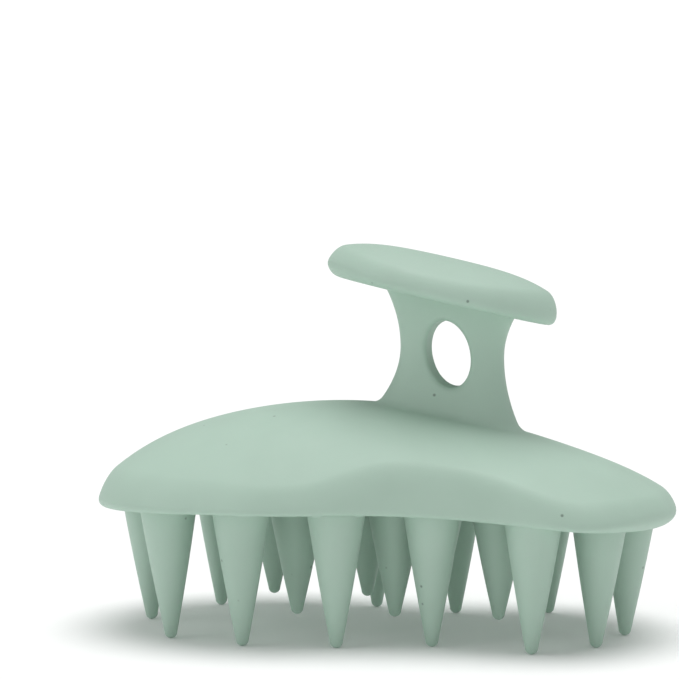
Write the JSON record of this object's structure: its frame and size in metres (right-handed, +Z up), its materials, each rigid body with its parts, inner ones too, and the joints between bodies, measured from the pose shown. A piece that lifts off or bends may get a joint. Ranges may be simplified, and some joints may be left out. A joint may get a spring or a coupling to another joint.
{
  "type": "scalp massager brush",
  "caption": "Hand-held scalp massager: domed body with finger scoops, waisted neck with a hanging hole, cross-grip, and a soft pad of cone teeth.",
  "frame": {"origin": "under the middle of the body, on the plane the long teeth stand on", "axes": "+X along the body to the end the neck stands nearer, +Y to the left, +Z up through the grip"},
  "size_m": [0.094, 0.057, 0.0616],
  "materials": {
    "shell": "matte sage green moulding with sparse plant-fibre flecks",
    "grip": "matte sage green moulding with sparse plant-fibre flecks",
    "plate": "unpolished sage green moulding",
    "pad": "soft matte silicone",
    "teeth": "soft satin silicone with sparse flecks"
  },
  "bodies": {
    "handle": {"body_shell": "shell", "palm_grip": "grip", "backing_plate": "plate", "tooth_pad": "pad"},
    "tooth_rear": {"tooth_rear": "teeth"},
    "tooth_front": {"tooth_front": "teeth"},
    "tooth_left_1": {"tooth_left_1": "teeth"},
    "tooth_left_2": {"tooth_left_2": "teeth"},
    "tooth_left_3": {"tooth_left_3": "teeth"},
    "tooth_left_4": {"tooth_left_4": "teeth"},
    "tooth_left_5": {"tooth_left_5": "teeth"},
    "tooth_left_6": {"tooth_left_6": "teeth"},
    "tooth_right_1": {"tooth_right_1": "teeth"},
    "tooth_right_2": {"tooth_right_2": "teeth"},
    "tooth_right_3": {"tooth_right_3": "teeth"},
    "tooth_right_4": {"tooth_right_4": "teeth"},
    "tooth_right_5": {"tooth_right_5": "teeth"},
    "tooth_right_6": {"tooth_right_6": "teeth"},
    "tooth_inner_1": {"tooth_inner_1": "teeth"},
    "tooth_inner_2": {"tooth_inner_2": "teeth"},
    "tooth_inner_3": {"tooth_inner_3": "teeth"},
    "tooth_inner_4": {"tooth_inner_4": "teeth"},
    "tooth_inner_5": {"tooth_inner_5": "teeth"},
    "tooth_inner_6": {"tooth_inner_6": "teeth"}
  },
  "joints": [
    {"name": "bend_rear", "type": "hinge", "parent": "handle", "child": "tooth_rear", "pos_m": [-0.0393, 0, 0.0205], "axis": [0, 1, 0], "range_deg": [-12, 12], "stiffness_Nm_per_rad": 0.03},
    {"name": "bend_front", "type": "hinge", "parent": "handle", "child": "tooth_front", "pos_m": [0.0393, 0, 0.0205], "axis": [0, -1, 0], "range_deg": [-12, 12], "stiffness_Nm_per_rad": 0.03},
    {"name": "bend_left_1", "type": "hinge", "parent": "handle", "child": "tooth_left_1", "pos_m": [-0.0313, 0.0155, 0.0205], "axis": [0.8081, 0.5891, 0], "range_deg": [-12, 12], "stiffness_Nm_per_rad": 0.03},
    {"name": "bend_left_2", "type": "hinge", "parent": "handle", "child": "tooth_left_2", "pos_m": [-0.0186, 0.0195, 0.0205], "axis": [1, 0, 0], "range_deg": [-12, 12], "stiffness_Nm_per_rad": 0.03},
    {"name": "bend_left_3", "type": "hinge", "parent": "handle", "child": "tooth_left_3", "pos_m": [-0.0041, 0.0185, 0.0205], "axis": [1, 0, 0], "range_deg": [-12, 12], "stiffness_Nm_per_rad": 0.03},
    {"name": "bend_left_4", "type": "hinge", "parent": "handle", "child": "tooth_left_4", "pos_m": [0.0101, 0.0149, 0.0205], "axis": [1, 0, 0], "range_deg": [-12, 12], "stiffness_Nm_per_rad": 0.03},
    {"name": "bend_left_5", "type": "hinge", "parent": "handle", "child": "tooth_left_5", "pos_m": [0.0257, 0.0179, 0.0205], "axis": [0.9529, -0.3034, 0], "range_deg": [-12, 12], "stiffness_Nm_per_rad": 0.03},
    {"name": "bend_left_6", "type": "hinge", "parent": "handle", "child": "tooth_left_6", "pos_m": [0.0352, 0.011, 0.0205], "axis": [0.5863, -0.8101, 0], "range_deg": [-12, 12], "stiffness_Nm_per_rad": 0.03},
    {"name": "bend_right_1", "type": "hinge", "parent": "handle", "child": "tooth_right_1", "pos_m": [-0.0313, -0.0155, 0.0205], "axis": [-0.8081, 0.5891, 0], "range_deg": [-12, 12], "stiffness_Nm_per_rad": 0.03},
    {"name": "bend_right_2", "type": "hinge", "parent": "handle", "child": "tooth_right_2", "pos_m": [-0.0186, -0.0195, 0.0205], "axis": [-1, 0, 0], "range_deg": [-12, 12], "stiffness_Nm_per_rad": 0.03},
    {"name": "bend_right_3", "type": "hinge", "parent": "handle", "child": "tooth_right_3", "pos_m": [-0.0041, -0.0185, 0.0205], "axis": [-1, 0, 0], "range_deg": [-12, 12], "stiffness_Nm_per_rad": 0.03},
    {"name": "bend_right_4", "type": "hinge", "parent": "handle", "child": "tooth_right_4", "pos_m": [0.0101, -0.0149, 0.0205], "axis": [-1, 0, 0], "range_deg": [-12, 12], "stiffness_Nm_per_rad": 0.03},
    {"name": "bend_right_5", "type": "hinge", "parent": "handle", "child": "tooth_right_5", "pos_m": [0.0257, -0.0179, 0.0205], "axis": [-0.9529, -0.3034, 0], "range_deg": [-12, 12], "stiffness_Nm_per_rad": 0.03},
    {"name": "bend_right_6", "type": "hinge", "parent": "handle", "child": "tooth_right_6", "pos_m": [0.0352, -0.011, 0.0205], "axis": [-0.5863, -0.8101, 0], "range_deg": [-12, 12], "stiffness_Nm_per_rad": 0.03},
    {"name": "bend_inner_1", "type": "hinge", "parent": "handle", "child": "tooth_inner_1", "pos_m": [-0.0202, 0.0092, 0.0205], "axis": [0, 1, 0], "range_deg": [-12, 12], "stiffness_Nm_per_rad": 0.03},
    {"name": "bend_inner_2", "type": "hinge", "parent": "handle", "child": "tooth_inner_2", "pos_m": [-0.0122, -0.0092, 0.0205], "axis": [0, 1, 0], "range_deg": [-12, 12], "stiffness_Nm_per_rad": 0.03},
    {"name": "bend_inner_3", "type": "hinge", "parent": "handle", "child": "tooth_inner_3", "pos_m": [-0.0042, 0.0092, 0.0205], "axis": [0, 1, 0], "range_deg": [-12, 12], "stiffness_Nm_per_rad": 0.03},
    {"name": "bend_inner_4", "type": "hinge", "parent": "handle", "child": "tooth_inner_4", "pos_m": [0.0034, -0.0088, 0.0205], "axis": [0, 1, 0], "range_deg": [-12, 12], "stiffness_Nm_per_rad": 0.03},
    {"name": "bend_inner_5", "type": "hinge", "parent": "handle", "child": "tooth_inner_5", "pos_m": [0.0084, 0.0052, 0.0205], "axis": [0, 1, 0], "range_deg": [-12, 12], "stiffness_Nm_per_rad": 0.03},
    {"name": "bend_inner_6", "type": "hinge", "parent": "handle", "child": "tooth_inner_6", "pos_m": [0.0197, -0.0086, 0.0205], "axis": [0, 1, 0], "range_deg": [-12, 12], "stiffness_Nm_per_rad": 0.03}
  ]
}
